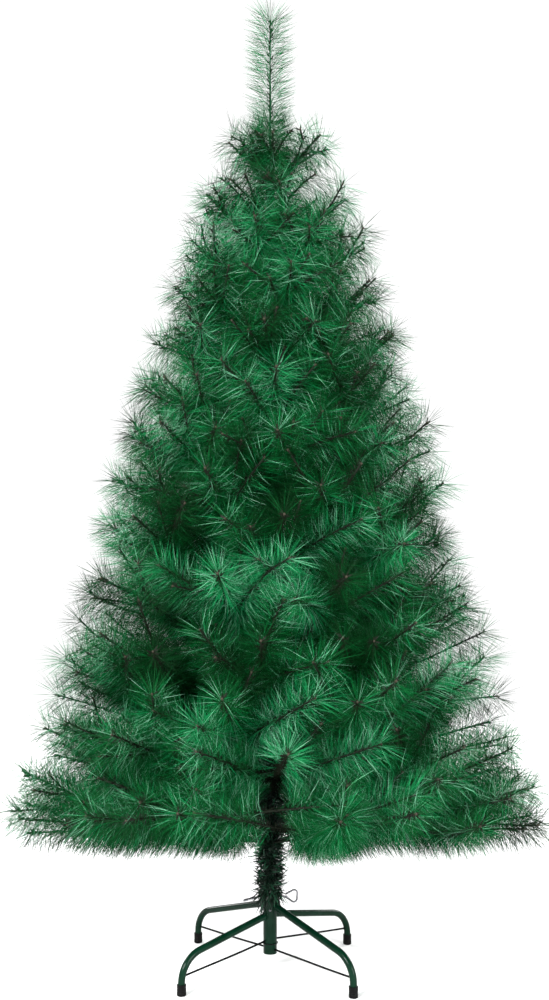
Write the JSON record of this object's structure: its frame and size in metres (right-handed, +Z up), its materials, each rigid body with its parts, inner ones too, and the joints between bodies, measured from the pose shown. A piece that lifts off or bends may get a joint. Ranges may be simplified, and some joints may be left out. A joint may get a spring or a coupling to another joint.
{
  "type": "artificial pine tree on a stand",
  "caption": "Undecorated artificial pine tree: rings of bottle-brush needle branches on a steel pole, tapering to a leader, on a folding steel-tube leg stand with black foot caps.",
  "frame": {"origin": "on the floor under the trunk pole, midway between the four feet", "axes": "+Z up along the trunk pole, -Y towards the viewer of the front, +X to the viewer's right"},
  "size_m": [1.0226, 0.9839, 1.8],
  "materials": {
    "needles": "semi-gloss PVC needles, deep green, lighter towards the tips of the sprays",
    "tinsel": "dark green PVC tinsel strips",
    "bough_wire": "dark twisted steel wire",
    "trunk_pole": "dark green powder coat, satin",
    "stand_paint": "dark green enamel, semi-gloss",
    "foot_plastic": "black moulded cap, matt",
    "stay_wire": "black steel wire, satin",
    "bolt_chrome": "bright zinc-plated wire"
  },
  "bodies": {
    "root": {"bough_1_1": "bough_wire", "bough_1_2": "bough_wire", "bough_1_3": "bough_wire", "bough_1_4": "bough_wire", "bough_1_5": "bough_wire", "bough_1_6": "bough_wire", "bough_2_1": "bough_wire", "bough_2_2": "bough_wire", "bough_2_3": "bough_wire", "bough_2_4": "bough_wire", "bough_2_5": "bough_wire", "bough_3_1": "bough_wire", "bough_3_2": "bough_wire", "bough_3_3": "bough_wire", "bough_3_4": "bough_wire", "eye_bolt_left": "bolt_chrome", "eye_bolt_right": "bolt_chrome", "foot_cap_back_left": "foot_plastic", "foot_cap_back_right": "foot_plastic", "foot_cap_front_left": "foot_plastic", "foot_cap_front_right": "foot_plastic", "leader_needles": "needles", "needles_1_1": "needles", "needles_1_2": "needles", "needles_1_3": "needles", "needles_1_4": "needles", "needles_1_5": "needles", "needles_1_6": "needles", "needles_2_1": "needles", "needles_2_2": "needles", "needles_2_3": "needles", "needles_2_4": "needles", "needles_2_5": "needles", "needles_3_1": "needles", "needles_3_2": "needles", "needles_3_3": "needles", "needles_3_4": "needles", "needles_4_1": "needles", "needles_4_2": "needles", "needles_4_3": "needles", "needles_4_4": "needles", "needles_5_1": "needles", "needles_5_2": "needles", "needles_5_3": "needles", "needles_6_1": "needles", "needles_6_2": "needles", "needles_7_1": "needles", "needles_7_2": "needles", "stand_leg_back_left": "stand_paint", "stand_leg_back_right": "stand_paint", "stand_leg_front_left": "stand_paint", "stand_leg_front_right": "stand_paint", "stand_socket_tube": "stand_paint", "stand_stay_ring": "stay_wire", "stay_wire_back_left": "stay_wire", "stay_wire_back_right": "stay_wire", "stay_wire_front_left": "stay_wire", "stay_wire_front_right": "stay_wire", "trunk_pole": "trunk_pole", "trunk_tinsel_sleeve": "tinsel"}
  },
  "joints": []
}
